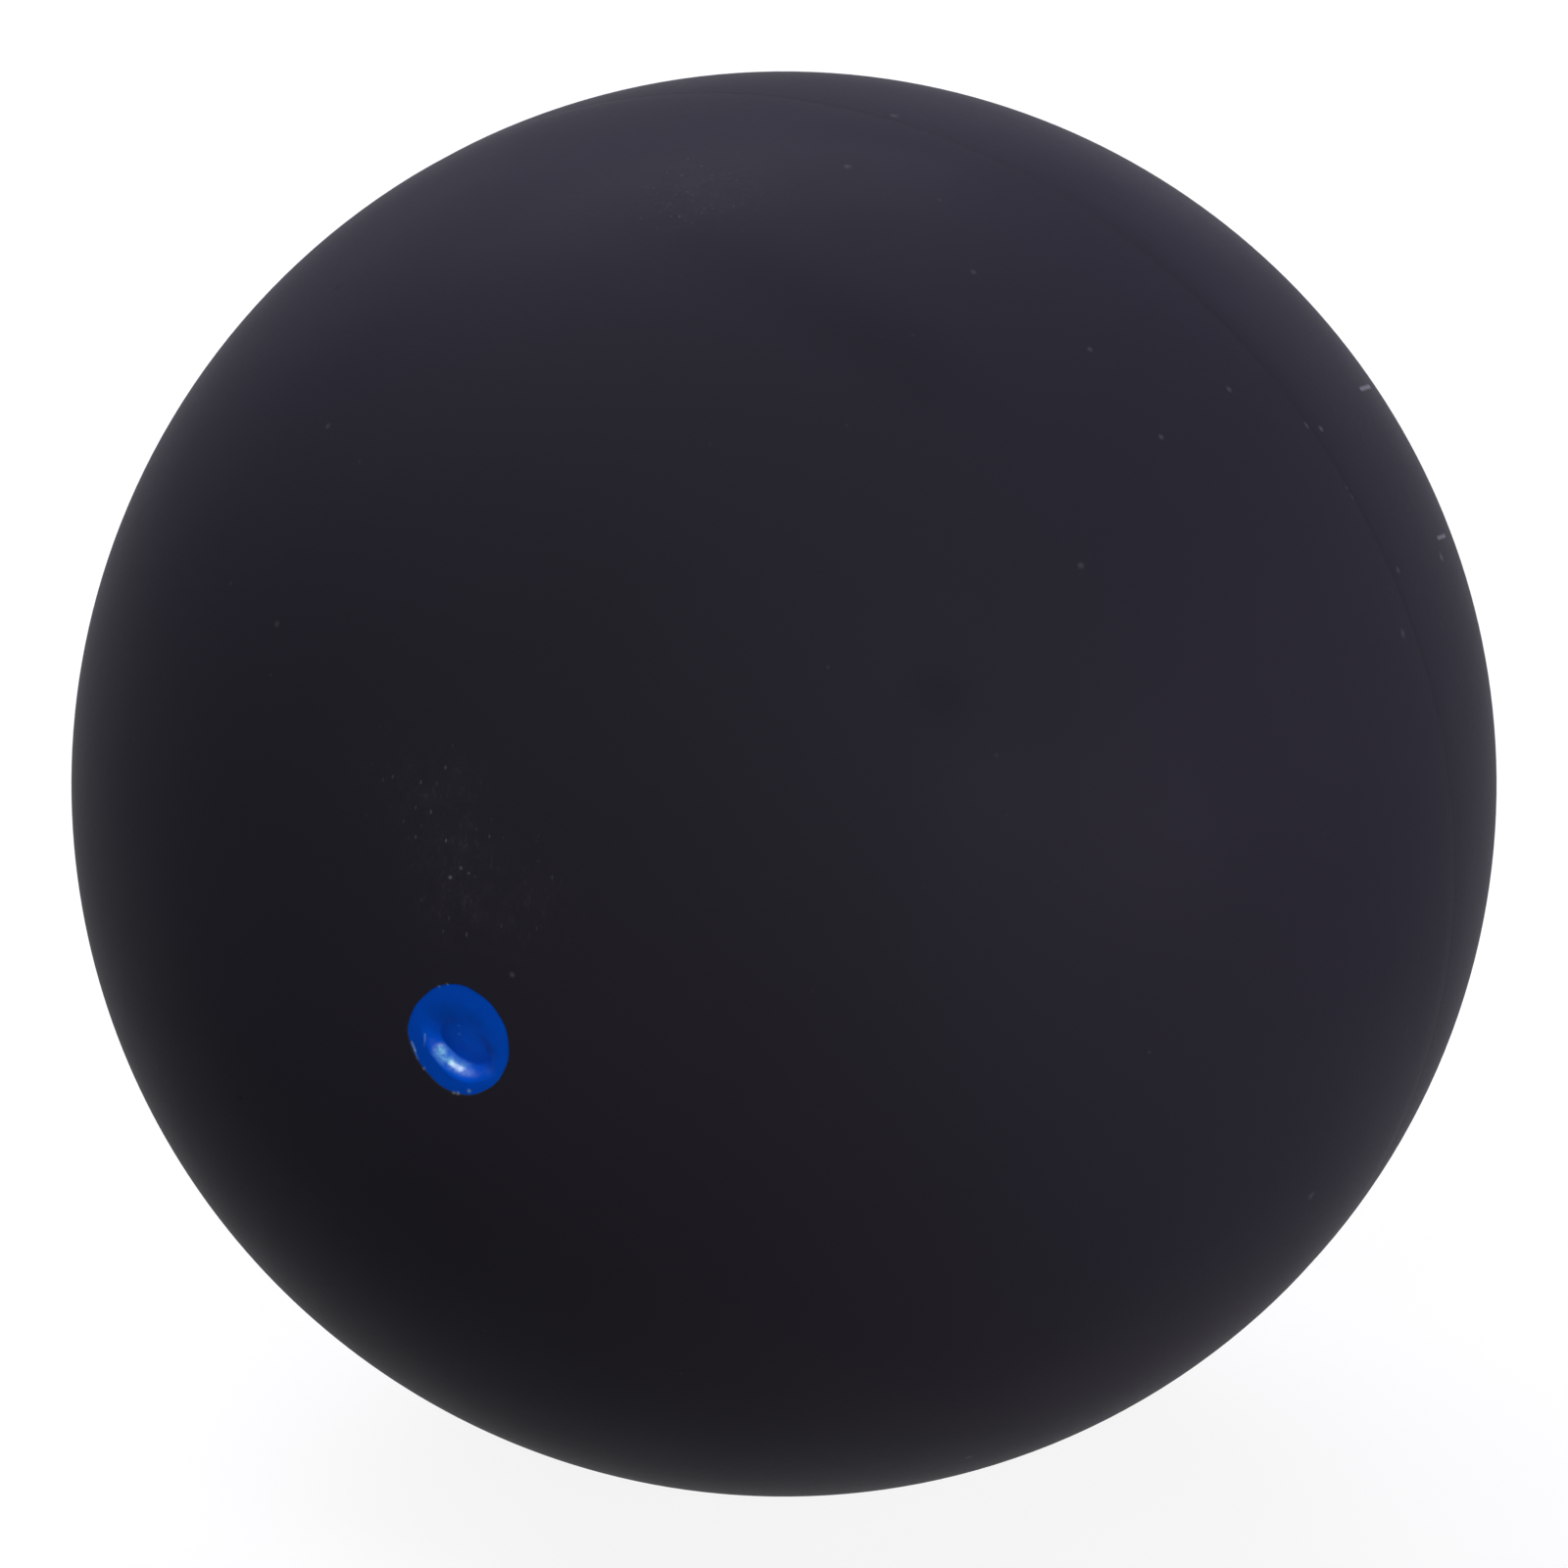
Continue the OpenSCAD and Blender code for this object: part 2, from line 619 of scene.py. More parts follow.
    def dust_cover(
        self,
        tree: ShaderTree,
        place: bpy.types.NodeSocket,
        haze: Value,
        outside: Value,
    ) -> Value:
        """Works out how much dust covers the rubber, and where the glints on the dot's lip are painted.

        Args:
            tree: The tree that gets the nodes.
            place: The point that is shaded.
            haze: Mask of the dusty patches.
            outside: Mask of the outer surface.

        Returns:
            The share of the surface that dust and the painted glints cover.
        """
        cover = self.cover
        streaks = tree.stretched(place, (1.0, 1.0, 0.45))
        fine = tree.specks(streaks, cover.fine_spacing, cover.fine_radius, cover.grain_share)
        lint = tree.noise(streaks, cover.lint_size, 2.0, 0.6).ease(*cover.lint_from_to)
        moved = tree.stretched(place, (1, 1, 1), offset=(5 * MM, 0, 0))
        coarse = tree.specks(moved, cover.coarse_spacing, cover.coarse_radius, cover.grain_share)
        cloudy = tree.noise(place, cover.haze_size, 4.0, 0.7).ease(*cover.haze_from_to)
        # Crumbs, nicks and painted glints on the dot's lip
        crumb_and_glint = total(tree, self.crumbs_and_glints, self.ball_r)
        powder = haze * (cloudy * (lint * cover.lint + cover.haze) + fine * cover.fine)
        return powder + coarse * outside * cover.coarse + crumb_and_glint * cover.crumb_and_glint


@dataclass(frozen=True)
class CuredCement:
    """Rubber cement, buffed flush with the shells at the seam and left as it ran on the inside."""

    colour: Colour = (0.0178, 0.0168, 0.0233)
    pale: Colour = (0.0188, 0.0178, 0.0246)
    gloss: Gloss = Gloss()

    def material(self) -> bpy.types.Material:
        """Makes the material.

        Returns:
            The finished material.
        """
        made = bpy.data.materials.new("rubber_cement")
        tree = ShaderTree(made)
        place = tree.position()
        ripple = tree.noise(place, 0.8 * MM, 3.0, 0.55)
        grain = tree.noise(place, GRAIN_SIZE, 3.0, 0.6)
        shader = tree.node(
            "ShaderNodeBsdfPrincipled",
            {},
            {
                "Base Color": tree.mix(ripple, self.colour, self.pale),
                "Roughness": (grain - 0.5) * 0.1 + self.gloss.roughness,
                "Normal": tree.bump(grain * 0.6 + ripple, RELIEF_DEPTH),
                **self.gloss.inputs(),
            },
        )
        tree.surface(shader.outputs[0])
        return made


def smooth_step(share: float) -> float:
    """Smooth step from 0 to 1 while the share goes from 0 to 1."""
    share = min(max(share, 0.0), 1.0)
    return share * share * (3 - 2 * share)


@dataclass(frozen=True)
class Hollow:
    """The hollow in the dried paint, which lies off the dot's middle.

    It is deepest on its low side, at the foot of a steep wall. Its other sides are shallow, and the
    two steep shares say how far round the low side, as a cosine, the wall starts and is full.
    """

    middle: tuple[float, float] = (0.23 * MM, 0.21 * MM)
    low_clock: float = 205.0
    edge: float = 1.42 * MM
    depth: float = 0.36 * MM
    wall_top: float = 1.38 * MM
    wall_foot: float = 0.98 * MM
    far_lip: float = 1.15 * MM
    tilt: float = 1.6
    steep_from: float = -0.40
    steep_full: float = 0.85

    def sink(self, point: Vector) -> float:
        """How far the paint has sunk at a point.

        Args:
            point: A point on the dot.

        Returns:
            The depth below the surface that the paint had when it was wet.
        """
        right, up = point.x - self.middle[0], point.z - self.middle[1]
        out = max(math.hypot(right, up), 0.001 * MM)
        right, up = right / out, up / out
        skew = self.middle[0] * right + self.middle[1] * up
        reach = math.sqrt(skew**2 + self.edge**2 - self.middle[0] ** 2 - self.middle[1] ** 2) - skew
        low = math.radians(self.low_clock)
        side = right * math.sin(low) + up * math.cos(low)
        steep = smooth_step((side - self.steep_from) / (self.steep_full - self.steep_from))
        top = reach + (self.wall_top - reach) * steep
        foot = self.wall_foot * steep
        fall = (side * out + self.far_lip) / (self.wall_foot + self.far_lip)
        fall = min(max(fall, 0.0), 1.0) ** self.tilt
        return self.depth * smooth_step((top - out) / (top - foot)) * fall


@dataclass(frozen=True)
class DotPaint:
    """Glossy blue paint that has dried a little uneven, with a scuffed wall low in its hollow that
    carries a painted highlight.

    A shine, or a share of wear and painted highlight, is first what a full streak adds, and then what
    lies between the streaks too.
    """

    ball_r: float
    hollow: Hollow
    colour: Colour = (0.0003, 0.0790, 0.6000)
    deep: Colour = (0.0003, 0.0730, 0.5500)
    # Lighter paint on the hollow's floor is painted light that lifts the shade in the hollow
    painted_fill_light: Colour = (0.0014, 0.1080, 0.8000)
    floor: Smudge = Smudge(0.45 * MM, 140.0, 1.30 * MM, 1.0)
    # Pale colour of the lip flakes and of the painted glints on the paint
    crumb_and_glint: Colour = (0.24, 0.44, 0.58)
    roughness: float = 0.25
    specular: float = 0.02
    coat_roughness: float = 0.20
    coat_ior: float = 2.0
    # Pale azure for wear and for a painted highlight on the hollow's low wall
    scuff_and_highlight: Colour = (0.24, 0.64, 0.84)
    ridge_shine: tuple[float, float] = (0.30, 0.08)
    ridge_wear_and_highlight: tuple[float, float] = (0.24, 0.08)
    scuff_and_highlight_share: tuple[float, float] = (0.70, 0.30)
    glint_highlight: float = 0.25
    crumb_and_glint_roughness: float = 0.40
    ridge_bright: float = 0.90
    ridge_faint: float = 0.10
    pool_size: float = 0.9 * MM
    pool_from_to: tuple[float, float] = (0.35, 0.70)
    skin_size: float = 0.13 * MM
    skin_depth: float = 0.004 * MM
    skin_roughness: float = 0.15
    streak_size: float = 0.20 * MM
    streak_from_to: tuple[float, float] = (0.35, 0.62)
    crumb_and_glint_from_to: tuple[float, float] = (0.30, 0.55)
    ridge: float = 1.18 * MM
    ridge_half_w: float = 0.22 * MM
    ridge_ends: tuple[float, float] = (239.0, 172.0)
    rim_depth: float = 0.06 * MM
    hollow_depth: float = 0.21 * MM
    # Lip flakes and painted glints, with a painted glint along the paint's low left edge
    crumbs_and_glints: tuple[Smudge | Hair, ...] = LIP_CRUMBS_AND_GLINTS + (
        Hair((1.03 * MM, 264.5), (1.13 * MM, 248.0), 0.05 * MM, 0.30),
    )
    # Glints that raise the coat and add a little painted highlight colour
    glints: tuple[Smudge | Hair, ...] = (
        Hair((0.93 * MM, 184.6), (0.90 * MM, 200.0), 0.15 * MM, 1.00),
    )
    # Scuffs with a painted highlight along the low wall, and two pale specks in the middle
    scuffs_and_highlights: tuple[Smudge | Hair, ...] = (
        Hair((0.89 * MM, 205.3), (0.87 * MM, 234.0), 0.16 * MM, 0.65),
        Smudge(0.29 * MM, 340.8, 0.07 * MM, 0.25),
        Smudge(0.11 * MM, 278.3, 0.07 * MM, 0.25),
    )

    def material(self) -> bpy.types.Material:
        """Makes the material.

        Returns:
            The finished material.
        """
        made = bpy.data.materials.new("dot_paint")
        tree = ShaderTree(made)
        place = tree.position()
        pool = tree.noise(place, self.pool_size)
        skin = tree.noise(place, self.skin_size)
        right, up = self.hollow.middle
        flat = tree.stretched(place, (1.0, 0.0, 1.0), offset=(-right, 0.0, -up))
        out = tree.measure("LENGTH", flat)
        colour = tree.mix(pool.ease(*self.pool_from_to), self.colour, self.deep)
        # Lip flakes and painted glints on the paint
        crumbs_and_glints = total(tree, self.crumbs_and_glints, self.ball_r - self.rim_depth)
        crumbs_and_glints = crumbs_and_glints * skin.ease(*self.crumb_and_glint_from_to)
        streaks = tree.noise(place, self.streak_size, 3.0, 0.6).ease(*self.streak_from_to)
        ridge = self.low_ridge(tree, flat, out)
        deep_r = self.ball_r - self.hollow_depth
        # Painted light: the hollow's floor is lightened where its shade falls
        colour = tree.mix(self.floor.mask(tree, deep_r), colour, self.painted_fill_light)
        glints = total(tree, self.glints, deep_r)
        scuffs_and_highlights = total(tree, self.scuffs_and_highlights, deep_r)

        def streaked(shares: tuple[float, float]) -> Value:
            """A share that is raised along the streaks."""
            return streaks * shares[0] + shares[1]

        shine = ridge * streaked(self.ridge_shine) + glints
        # Wear and painted highlight: the low wall, glints and scuffs are mixed towards a pale azure
        wear_and_highlight = ridge * streaked(self.ridge_wear_and_highlight) + glints * self.glint_highlight
        wear_and_highlight = wear_and_highlight + scuffs_and_highlights * streaked(self.scuff_and_highlight_share)
        colour = tree.mix(wear_and_highlight, colour, self.scuff_and_highlight)
        rough = crumbs_and_glints * self.crumb_and_glint_roughness + self.roughness
        shader = tree.node(
            "ShaderNodeBsdfPrincipled",
            {},
            {
                "Base Color": tree.mix(crumbs_and_glints, colour, self.crumb_and_glint),
                "Roughness": (skin - 0.5) * self.skin_roughness + rough,
                "Specular IOR Level": self.specular,
                "Coat Weight": shine,
                "Coat Roughness": self.coat_roughness,
                "Coat IOR": self.coat_ior,
                "Normal": tree.bump(skin, self.skin_depth),
            },
        )
        tree.surface(shader.outputs[0])
        return made

    def low_ridge(self, tree: ShaderTree, flat: bpy.types.NodeSocket, out: Value) -> Value:
        """Marks the steep wall on the low side of the hollow, where the paint ran together, which gets a
        glossier coat and a painted highlight.

        Args:
            tree: The tree that gets the nodes.
            flat: The shaded point as seen from the front, from the middle of the hollow.
            out: Its distance from the middle of the hollow.

        Returns:
            A value from 0 to 1.
        """

        def towards(clock: float) -> Value:
            """Cosine of the angle from a clock angle."""
            turn = math.radians(clock)
            return (tree.part(flat, "X") * math.sin(turn) + tree.part(flat, "Z") * math.cos(turn)) / out

        left_end, right_end = self.ridge_ends
        ring = abs(out - self.ridge).ease(self.ridge_half_w, self.ridge_half_w * 0.2)
        bright = towards(left_end - 90.0).ease(-0.05, 0.15) * towards(right_end + 90.0).ease(0.0, 0.45)
        faint = towards(self.hollow.low_clock - 15.0).ease(0.60, 0.80)
        return ring * (bright * self.ridge_bright + faint * self.ridge_faint)


class HalfSection:
    """Half of a turned piece's section, drawn point by point and then spun round the moulding axis.

    A point is given by its distance from the moulding axis and its place along it, where the places
    grow from the ball's centre towards the front.
    """

    AXIS = Vector((0.0, 1.0, 0.0))

    def __init__(self) -> None:
        """Starts an empty section."""
        self.mesh = bmesh.new()
        self.first: bmesh.types.BMVert | None = None
        self.last: bmesh.types.BMVert | None = None

    @staticmethod
    def spot(out: float, along: float) -> Vector:
        """The point at a distance from the axis and a place along it."""
        return Vector((out, -along, 0.0))

    def line(self, out: float, along: float) -> bmesh.types.BMVert:
        """Draws a straight line from the last point.

        Args:
            out: Distance of its end from the moulding axis.
            along: Place of its end along the axis.

        Returns:
            The corner at its end.
        """
        corner = self.mesh.verts.new(self.spot(out, along))
        if self.last is None:
            self.first = corner
        else:
            self.mesh.edges.new((self.last, corner))
        self.last = corner
        return corner

    def arc(self, out: float, along: float, degrees: float, steps: int) -> None:
        """Draws an arc from the last point.

        Args:
            out: Distance of its centre from the moulding axis.
            along: Place of its centre along the axis.
            degrees: Its angle. A positive arc turns from the front outwards, away from the moulding axis.
            steps: How many straight pieces stand for it.
        """
        made = bmesh.ops.spin(
            self.mesh,
            geom=[self.last],
            cent=self.spot(out, along),
            axis=(0.0, 0.0, 1.0),
            angle=math.radians(degrees),
            steps=steps,
        )
        self.last = next(v for v in made["geom_last"] if isinstance(v, bmesh.types.BMVert))

    def close(self) -> None:
        """Joins the last point to the first one."""
        self.mesh.edges.new((self.last, self.first))

    def round(self, corners: Sequence[bmesh.types.BMVert], radius: float, segments: int) -> None:
        """Rounds corners.

        Args:
            corners: The corners.
            radius: How far each rounding reaches along the lines.
            segments: How many straight pieces stand for each rounding.
        """
        bmesh.ops.bevel(
            self.mesh,
            geom=list(corners),
            offset=radius,
            offset_type="OFFSET",
            segments=segments,
            profile=0.5,
            affect="VERTICES",
            material=-1,
        )

    def turn(self, steps: int) -> bmesh.types.BMesh:
        """Spins the section into a closed solid.

        Args:
            steps: How many steps go round the axis.

        Returns:
            The solid's mesh, with its faces outwards.
        """
        bmesh.ops.spin(
            self.mesh,
            geom=self.mesh.verts[:] + self.mesh.edges[:],
            cent=(0.0, 0.0, 0.0),
            axis=self.AXIS,
            angle=math.tau,
            steps=steps,
            use_merge=True,
        )
        bmesh.ops.remove_doubles(self.mesh, verts=self.mesh.verts[:], dist=1e-7)
        bmesh.ops.recalc_face_normals(self.mesh, faces=self.mesh.faces[:])
        return self.mesh


def add_piece(
    name: str,
    mesh: bmesh.types.BMesh,
    finish: bpy.types.Material,
    node: str,
) -> bpy.types.Object:
    """Puts a finished mesh in the scene as a piece of the ball.

    Args:
        name: The piece's name.
        mesh: Its mesh, which is freed.
        finish: Its material.
        node: The CAD node that it stands for.

    Returns:
        The piece.
    """
    data = bpy.data.meshes.new(name)
    mesh.to_mesh(data)
    mesh.free()
    data.polygons.foreach_set("use_smooth", [True] * len(data.polygons))
    data.set_sharp_from_angle(angle=math.radians(SHARP_ANGLE))
    data.materials.append(finish)
    piece = bpy.data.objects.new(name, data)
    bpy.context.scene.collection.objects.link(piece)
    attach(piece, "root")
    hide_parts(node)
    LOG.info("%s: %d faces", name, len(data.polygons))
    return piece


@dataclass(frozen=True)
class Recess:
    """The moulded recess at the front pole, whose outline is a little uneven.

    Each lobe of the outline is how often it comes round, its height and the clock angle of its top.
    """

    radius: float
    floor: float
    lip: float = 0.04 * MM
    fade: float = 0.6
    fillet: float = 0.05 * MM
    fillet_steps: int = 3
    trim: float = 0.036 * MM
    lobes: tuple[tuple[int, float, float], ...] = (
        (1, 0.068 * MM, 209.0),
        (2, 0.038 * MM, 5.0),
        (3, 0.011 * MM, 33.0),
        (4, 0.020 * MM, -2.0),
        (5, 0.009 * MM, -20.0),
        (11, 0.006 * MM, 5.0),
    )

    def edge_shift(self, point: Vector) -> float:
        """How far the outline is pushed outwards at a point's clock angle.

        Args:
            point: A point at the outline.

        Returns:
            The shift, which may be negative.
        """
        clock = math.atan2(point.x, point.z)
        return sum(
            height * math.cos(times * (clock - math.radians(top)))
            for times, height, top in self.lobes
        ) - self.trim

    def push(self, mesh: bmesh.types.BMesh) -> None:
        """Moves the vertices round the recess to its uneven outline.

        Args:
            mesh: The mesh of a piece that meets the outline.
        """
        for vert in mesh.verts:
            out = math.hypot(vert.co.x, vert.co.z)
            reach = 1 - abs(out / self.radius - 1) / self.fade
            if vert.co.y > 0 or reach <= 0:
                continue
            shift = self.edge_shift(vert.co) * min(reach * 2, 1.0) / out
            vert.co.x += vert.co.x * shift
            vert.co.z += vert.co.z * shift


class Side(Enum):
    """Which half of the ball a shell is."""

    FRONT = "dotted_half_shell"
    BACK = "plain_half_shell"


@dataclass
class HalfShell:
    """One moulded half of the ball: a thick rubber bowl with a flat rim, and a recess in the front one.

    The bevel of the rim is at 45 degrees. The tilts are angles from the moulding axis, in degrees.
    """

    side: Side
    ball_r: float
    rim: float
    recess: Recess
    wall: float = 5.0 * MM
    bevel: float = 0.8 * MM
    seam_dip: float = 0.012 * MM
    seam_dip_w: float = 0.9 * MM
    near_dot: float = 9.0
    near_steps: int = 20
    far_steps: int = 108
    air_steps: int = 48
    around: int = 256

    def build(self) -> bmesh.types.BMesh:
        """Turns the shell's half section.

        Returns:
            The shell's mesh.
        """
        section = HalfSection()
        if self.side is Side.FRONT:
            start = self.draw_recess(section)
        else:
            section.line(0.0, self.ball_r)
            start = 0.0
        rim_tilt = math.degrees(math.acos(self.rim / self.ball_r))
        section.arc(0.0, 0.0, self.near_dot - start, self.near_steps)
        section.arc(0.0, 0.0, rim_tilt - self.near_dot, self.far_steps)
        air_r = self.ball_r - self.wall
        section.line(air_r + self.bevel, self.rim)
        reach = air_r + self.bevel + self.rim
        bevel_top = (reach - math.sqrt(2 * air_r**2 - reach**2)) / 2
        air_start = math.degrees(math.asin(bevel_top / air_r))
        section.line(math.sqrt(air_r**2 - bevel_top**2), bevel_top)
        section.arc(0.0, 0.0, air_start - 90.0, self.air_steps)
        mesh = section.turn(self.around)
        if self.side is Side.FRONT:
            self.recess.push(mesh)
        else:
            to_back = Matrix.Rotation(math.pi, 3, "Z")
            bmesh.ops.rotate(mesh, verts=mesh.verts[:], cent=(0, 0, 0), matrix=to_back)
        self.dip_at_seam(mesh)
        return mesh

    def draw_recess(self, section: HalfSection) -> float:
        """Draws the recess from its middle to the ball's surface.

        Args:
            section: The shell's section, still empty.

        Returns:
            The tilt from the moulding axis, in degrees, at which the surface starts.
        """
        recess = self.recess
        edge = recess.radius + recess.lip
        edge_along = math.sqrt(self.ball_r**2 - edge**2)
        section.line(0.0, recess.floor)
        floor_corner = section.line(recess.radius, recess.floor)
        section.line(recess.radius, edge_along - recess.lip)
        section.line(edge, edge_along)
        section.round([floor_corner], recess.fillet, recess.fillet_steps)
        return math.degrees(math.asin(edge / self.ball_r))

    def dip_at_seam(self, mesh: bmesh.types.BMesh) -> None:
        """Lets the surface sink a little towards the seam, as buffing leaves it.

        Args:
            mesh: The shell's mesh.
        """
        for vert in mesh.verts:
            gap = abs(vert.co.y) / self.seam_dip_w
            if gap < 1 and vert.co.length > self.ball_r - 0.2 * MM:
                vert.co *= 1 - (1 - gap) ** 2 * self.seam_dip / self.ball_r

    def add(self, finish: bpy.types.Material) -> bpy.types.Object:
        """Builds the shell and dresses it.

        Args:
            finish: Its material.

        Returns:
            The shell.
        """
        node = self.side.value
        return add_piece(f"{node}_rubber", self.build(), finish, node)


@dataclass
class SeamCement:
    """The film of cement between the rims, with the bead that it was squeezed out to inside."""

    ball_r: float
    rim: float
    wall: float = 5.0 * MM
    bevel: float = 0.8 * MM
    bead_height: float = 0.4 * MM
    sink: float = 0.0095 * MM
    bead_steps: int = 28
    around: int = 256

    def build(self) -> bmesh.types.BMesh:
        """Turns the cement's half section.

        Returns:
            The cement's mesh.
        """
        section = HalfSection()
        air_r = self.ball_r - self.wall
        bead_r = (self.bevel + self.bead_height) / 2
        bead_out = air_r - self.bead_height + bead_r
        foot = air_r + self.bevel
        climb = (bead_r - self.rim + math.sqrt(2 * bead_r**2 - (bead_r + self.rim) ** 2)) / 2
        leave_out, leave_along = foot - climb, self.rim + climb
        half_angle = math.degrees(math.atan2(leave_along, leave_out - bead_out))
        edge = self.ball_r - self.sink
        section.line(edge, self.rim)
        section.line(foot, self.rim)
        section.line(leave_out, leave_along)
        section.arc(bead_out, 0.0, half_angle * 2 - 360.0, self.bead_steps)
        section.line(foot, -self.rim)
        section.line(edge, -self.rim)
        section.close()
        return section.turn(self.around)

    def add(self, finish: bpy.types.Material) -> bpy.types.Object:
        """Builds the cement and dresses it.

        Args:
            finish: Its material.

        Returns:
            The cement.
        """
        return add_piece("seam_cement_film", self.build(), finish, "seam_cement")


@dataclass
class PaintDot:
    """The drop of paint: a skin that follows the ball and has dried hollow."""

    ball_r: float
    recess: Recess
    hollow: Hollow = Hollow()
    drop: float = 0.03 * MM
    shoulder: float = 0.06 * MM
    shoulder_steps: int = 5
    lump: float = 0.010 * MM
    lump_size: float = 0.34 * MM
    rings: int = 64
    around: int = 192

    def build(self) -> bmesh.types.BMesh:
        """Turns the dot's half section and makes it uneven.

        Returns:
            The dot's mesh.
        """
        section = HalfSection()
        top_r = self.ball_r - self.drop
        lean = math.asin(self.recess.radius / top_r)
        section.line(0.0, self.recess.floor)
        floor_corner = section.line(self.recess.radius, self.recess.floor)
        shoulder = section.line(self.recess.radius, top_r * math.cos(lean))
        section.arc(0.0, 0.0, -math.degrees(lean), self.rings)
        section.round([shoulder], self.shoulder, self.shoulder_steps)
        section.round([floor_corner], self.recess.fillet, self.recess.fillet_steps)
        mesh = section.turn(self.around)
        self.settle(mesh)
        self.recess.push(mesh)
        return mesh

    def settle(self, mesh: bmesh.types.BMesh) -> None:
        """Sinks the hollow into the dot and makes its top uneven.

        Args:
            mesh: The dot's mesh.
        """
        edge = self.recess.radius - self.shoulder
        for vert in mesh.verts:
            out = math.hypot(vert.co.x, vert.co.z)
            if -vert.co.y < self.recess.floor + self.hollow.depth or out > edge:
                continue
            vert.co.y += self.hollow.sink(vert.co)
            vert.co.y += noise.noise(vert.co / self.lump_size) * self.lump

    def add(self, finish: bpy.types.Material) -> bpy.types.Object:
        """Builds the dot and dresses it.

        Args:
            finish: Its material.

        Returns:
            The dot.
        """
        return add_piece("blue_dot_paint", self.build(), finish, "blue_dot")


def direction(azimuth: float, elevation: float) -> Vector:
    """The unit vector towards an azimuth from the front, -Y, and an elevation, both in degrees."""
    turn, tilt = math.radians(azimuth), math.radians(elevation)
    return Vector((math.sin(turn) * math.cos(tilt), -math.cos(turn) * math.cos(tilt), math.sin(tilt)))


@dataclass(frozen=True)
class SoftBox:
    """A long flat lamp that faces the ball and reaches from one direction to another.

    A direction is an azimuth from the front of the ball and an elevation, both in degrees.
    """

    name: str
    start: tuple[float, float]
    end: tuple[float, float]
    width: float
    radiance: float
    tint: Colour = (1.0, 1.0, 1.0)
    distance: float = 0.9

    def add(self) -> None:
        """Puts the lamp in the scene."""
        start, end = (direction(*angles) * self.distance for angles in (self.start, self.end))
        lamp = bpy.data.lights.new(self.name, "AREA")
        lamp.shape = "RECTANGLE"
        lamp.size, lamp.size_y = (end - start).length, self.width
        lamp.energy = self.radiance * lamp.size * lamp.size_y * math.pi
        lamp.color = self.tint
        holder = bpy.data.objects.new(self.name, lamp)
        holder.location = (start + end) / 2
        away = holder.location.normalized()
        along = (end - start).normalized()
        across = away.cross(along)
        holder.rotation_euler = Matrix((along, across, away)).transposed().to_euler()
        holder.visible_camera = False
        bpy.context.scene.collection.objects.link(holder)


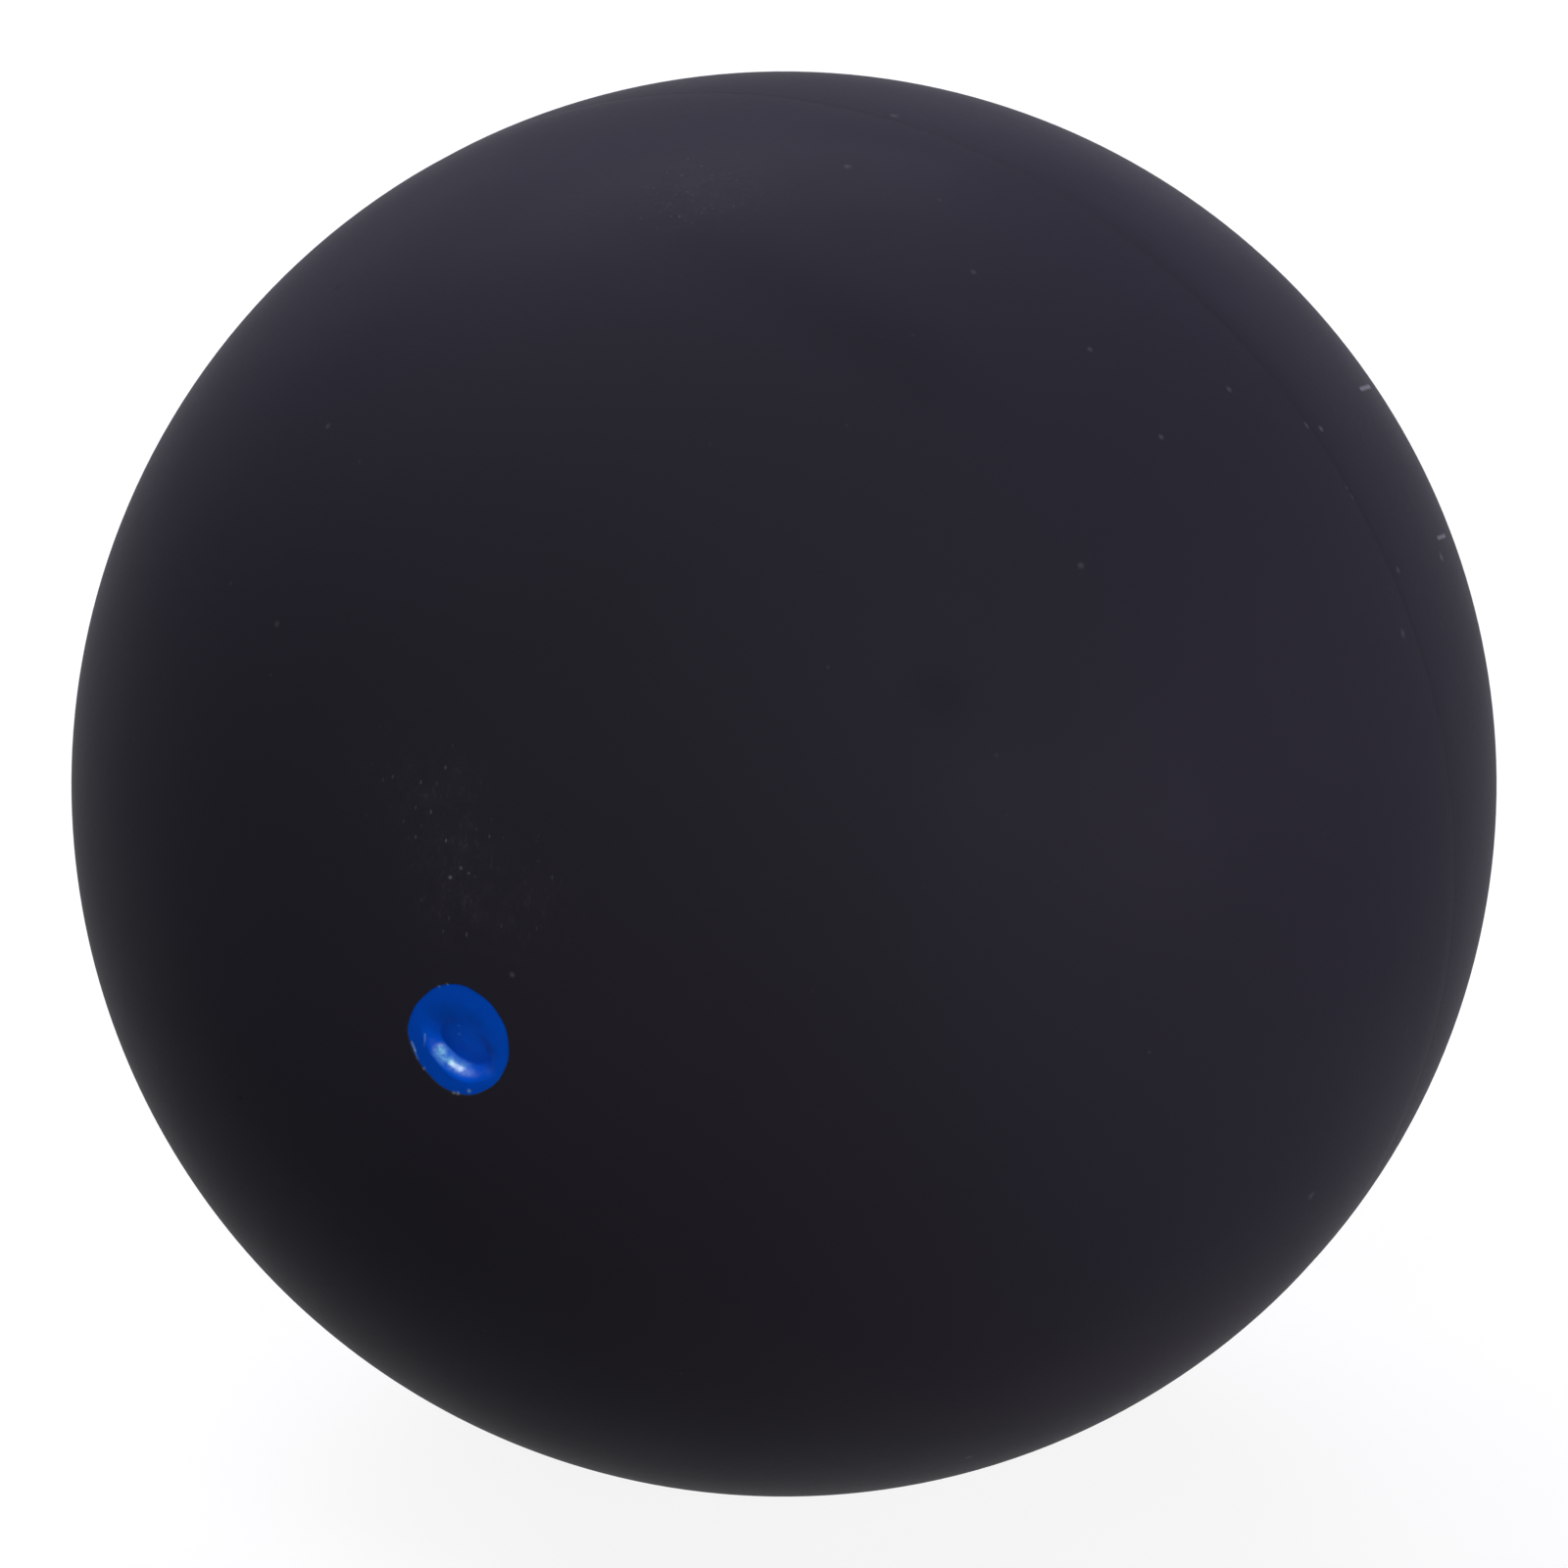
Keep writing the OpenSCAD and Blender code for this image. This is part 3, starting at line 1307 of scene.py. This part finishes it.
@dataclass(frozen=True)
class Studio:
    """The camera at the photograph's angle, the pale floor, the lamps and the world."""

    ball_r: float
    azimuth: float = 24.7
    elevation: float = 21.1
    distance: float = 190.0 * MM
    lens: float = 154.6
    floor_half: float = 3.0
    ambient: float = 0.02
    room: float = 0.05
    sweep_start: float = 8.0
    sweep_top: float = 30.0
    floor_shade: float = 0.12
    floor_white: float = 1.005
    floor_mottle: float = 1.02
    lamps: tuple[SoftBox, ...] = (
        SoftBox("top_strip", (56.0, 44.0), (-85.3, 30.0), 0.13, 5.4, (0.97, 0.99, 1.06)),
        SoftBox("rear_top", (-115.6, 43.4), (-175.6, 43.4), 0.30, 10.0, (0.95, 0.96, 1.17)),
        SoftBox("rear_left", (-110.0, 26.6), (-142.0, 26.6), 0.46, 1.2, (0.97, 0.90, 1.30)),
        SoftBox("rear_right", (166.3, 14.5), (196.3, 14.5), 0.40, 0.6, (0.90, 0.90, 1.30)),
        SoftBox("right_front", (46.0, 8.0), (76.0, 8.0), 0.44, 7.4, (1.06, 1.00, 0.93)),
        SoftBox("right", (97.3, 12.1), (127.3, 12.1), 0.38, 4.2, (0.92, 0.86, 1.40)),
    )

    def add_camera(self) -> None:
        """Aims the camera at the middle of the ball."""
        back = direction(self.azimuth, self.elevation)
        camera = bpy.data.objects.new("camera", bpy.data.cameras.new("camera"))
        camera.data.lens = self.lens
        camera.data.clip_start, camera.data.clip_end = 0.01, 20.0
        camera.location = back * self.distance
        camera.rotation_euler = (-back).to_track_quat("-Z", "Y").to_euler()
        bpy.context.scene.collection.objects.link(camera)
        bpy.context.scene.camera = camera

    def seen(self, tree: ShaderTree) -> Value:
        """Finds the rays that show the background.

        Args:
            tree: The tree that gets the nodes.

        Returns:
            1 for a ray from the camera, a reflection or a glass, else 0.
        """
        rays = tree.node("ShaderNodeLightPath")
        names = ("Is Camera Ray", "Is Glossy Ray", "Is Transmission Ray")
        camera, glossy, through = (Value(tree, rays.outputs[name]) for name in names)
        return camera.most(glossy).most(through)

    def add_world(self) -> None:
        """Makes the world a white backdrop up to a low height, with a dim room above it."""
        world = bpy.data.worlds.new("studio")
        tree = ShaderTree(world)
        ray = tree.node("ShaderNodeTexCoord").outputs["Generated"]
        rise = tree.part(ray, "Z")
        ends = (math.sin(math.radians(angle)) for angle in (self.sweep_top, self.sweep_start))
        sweep = rise.ease(*ends)
        backdrop = sweep * (1 - self.room) + self.room
        white = tree.mix(backdrop, (0.0, 0.0, 0.0), (1.0, 1.0, 1.0))
        shown = tree.node("ShaderNodeBackground", {}, {"Color": white})
        lit = tree.node("ShaderNodeBackground", {}, {"Strength": self.ambient, "Color": (1, 1, 1, 1)})
        choice = {0: self.seen(tree), 1: lit.outputs[0], 2: shown.outputs[0]}
        sky = tree.node("ShaderNodeMixShader", {}, choice)
        tree.surface(sky.outputs[0], "ShaderNodeOutputWorld")
        bpy.context.scene.world = world

    def add_floor(self) -> None:
        """Makes the pale floor, which keeps the ball's soft shadow."""
        made = bpy.data.materials.new("pale_floor")
        tree = ShaderTree(made)
        grain = tree.noise(tree.position(), 40.0 * MM, 2.0)
        shade = self.floor_shade
        tone = tree.mix(grain, (shade,) * 3, (shade * self.floor_mottle,) * 3)
        matte = tree.node("ShaderNodeBsdfDiffuse", {}, {"Color": tone})
        glow = tree.node("ShaderNodeEmission", {}, {"Strength": self.floor_white - shade})
        white = tree.node("ShaderNodeAddShader", {}, {0: matte.outputs[0], 1: glow.outputs[0]})
        choice = {0: self.seen(tree), 1: matte.outputs[0], 2: white.outputs[0]}
        shown = tree.node("ShaderNodeMixShader", {}, choice)
        tree.surface(shown.outputs[0])
        mesh = bmesh.new()
        bmesh.ops.create_grid(mesh, x_segments=2, y_segments=2, size=self.floor_half)
        bmesh.ops.translate(mesh, verts=mesh.verts[:], vec=(0.0, 0.0, -self.ball_r))
        data = bpy.data.meshes.new("floor")
        mesh.to_mesh(data)
        mesh.free()
        data.materials.append(made)
        floor = bpy.data.objects.new("floor", data)
        bpy.context.scene.collection.objects.link(floor)

    def add(self) -> None:
        """Sets up the whole studio."""
        self.add_camera()
        self.add_world()
        self.add_floor()
        for lamp in self.lamps:
            lamp.add()
        bpy.context.scene.view_settings.view_transform = "Standard"


def corners(box: tuple[Vector, Vector]) -> list[list[float]]:
    """A box's two corners as plain lists of numbers."""
    return [list(corner) for corner in box]


def main() -> None:
    """Builds the ball piece by piece, then the studio."""
    logging.basicConfig(level=logging.INFO, format="%(name)s: %(message)s")
    ball_r = (CAD_BOX[1].z - CAD_BOX[0].z) / 2
    rim = -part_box("dotted_half_shell")[1].y
    dot_low, dot_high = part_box("blue_dot")
    recess = Recess(radius=(dot_high.x - dot_low.x) / 2, floor=-dot_high.y)

    rubber = BuffedRubber(ball_r).material()
    for side in Side:
        HalfShell(side, ball_r, rim, recess).add(rubber)
    SeamCement(ball_r, rim).add(CuredCement().material())
    dot = PaintDot(ball_r, recess)
    dot.add(DotPaint(ball_r, dot.hollow).material())
    Studio(ball_r).add()


if __name__ == "__main__":
    main()
